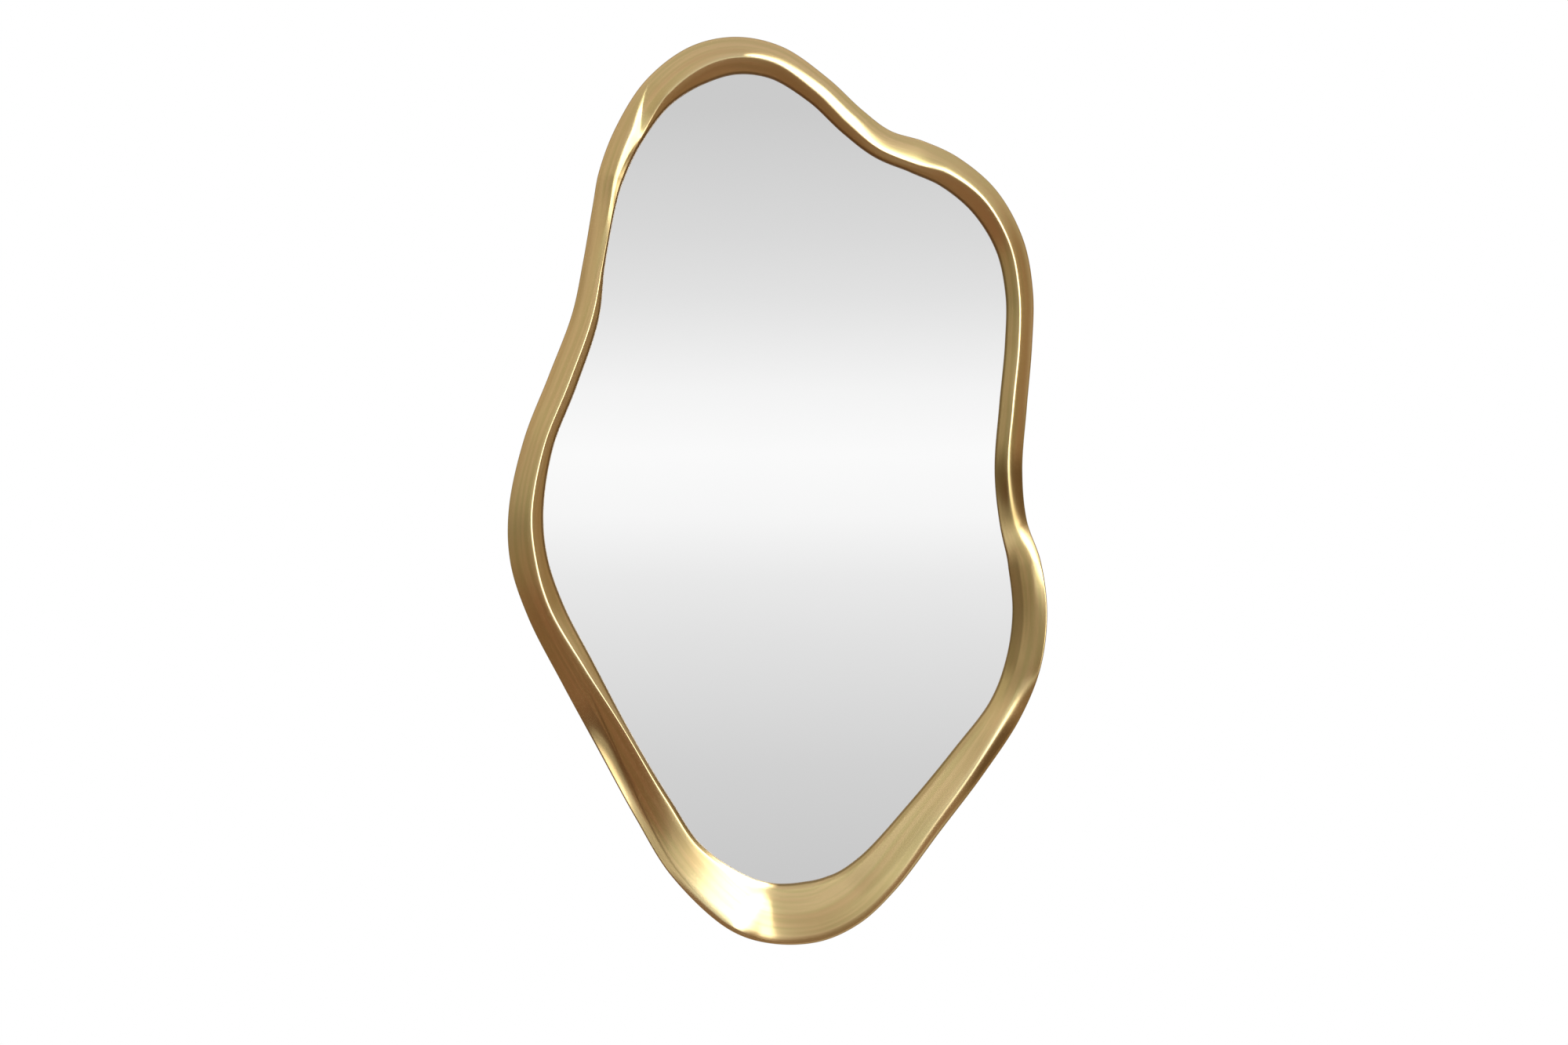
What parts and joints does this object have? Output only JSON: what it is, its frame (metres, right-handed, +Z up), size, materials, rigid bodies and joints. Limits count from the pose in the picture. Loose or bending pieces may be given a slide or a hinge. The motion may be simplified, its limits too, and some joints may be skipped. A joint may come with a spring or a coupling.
{
  "type": "irregular wall mirror",
  "caption": "Wall mirror with a freeform brushed brass-coloured metal frame of wandering ridges, plain mirror plate, screwed backing board, swinging hanging loops and wall bumpers",
  "frame": {"origin": "on the wall plane, at the height of the two hanging loops' hinge lines, midway between them", "axes": "+Z up along the mirror's height, +Y into the wall, so the mirror faces -Y; +X to the viewer's right"},
  "size_m": [0.603, 0.0305, 1.016],
  "materials": {
    "frame_metal": "satin",
    "mirror_plate": "polished",
    "tape": "matte",
    "foam": "matte",
    "board": "matte",
    "screw_steel": "satin",
    "hanger_steel": "satin",
    "bumper_rubber": "matte"
  },
  "bodies": {
    "mirror_body": {"frame": "frame_metal", "glazing_tape": "tape", "mirror_glass": "mirror_plate", "foam_sheet": "foam", "backing_board": "board", "backing_screw_01": "screw_steel", "backing_screw_02": "screw_steel", "backing_screw_03": "screw_steel", "backing_screw_04": "screw_steel", "backing_screw_05": "screw_steel", "backing_screw_06": "screw_steel", "backing_screw_07": "screw_steel", "backing_screw_08": "screw_steel", "backing_screw_09": "screw_steel", "backing_screw_10": "screw_steel", "backing_screw_11": "screw_steel", "backing_screw_12": "screw_steel", "backing_screw_13": "screw_steel", "backing_screw_14": "screw_steel", "hanger_strap_left": "hanger_steel", "hanger_screw_left_upper": "screw_steel", "hanger_screw_left_lower": "screw_steel", "hanger_strap_right": "hanger_steel", "hanger_screw_right_upper": "screw_steel", "hanger_screw_right_lower": "screw_steel", "bumper_upper_left": "bumper_rubber", "bumper_upper_right": "bumper_rubber", "bumper_lower_right": "bumper_rubber", "bumper_lower_left": "bumper_rubber"},
    "ring_left": {"hanger_ring_left": "hanger_steel"},
    "ring_right": {"hanger_ring_right": "hanger_steel"}
  },
  "joints": [
    {"name": "ring_left_swing", "type": "hinge", "parent": "mirror_body", "child": "ring_left", "pos_m": [-0.24363, -0.0032, 0], "axis": [0.9536, 0, -0.3012], "range_deg": [0, 180]},
    {"name": "ring_right_swing", "type": "hinge", "parent": "mirror_body", "child": "ring_right", "pos_m": [0.24363, -0.0032, 0], "axis": [0.9994, 0, -0.0356], "range_deg": [0, 180]}
  ]
}
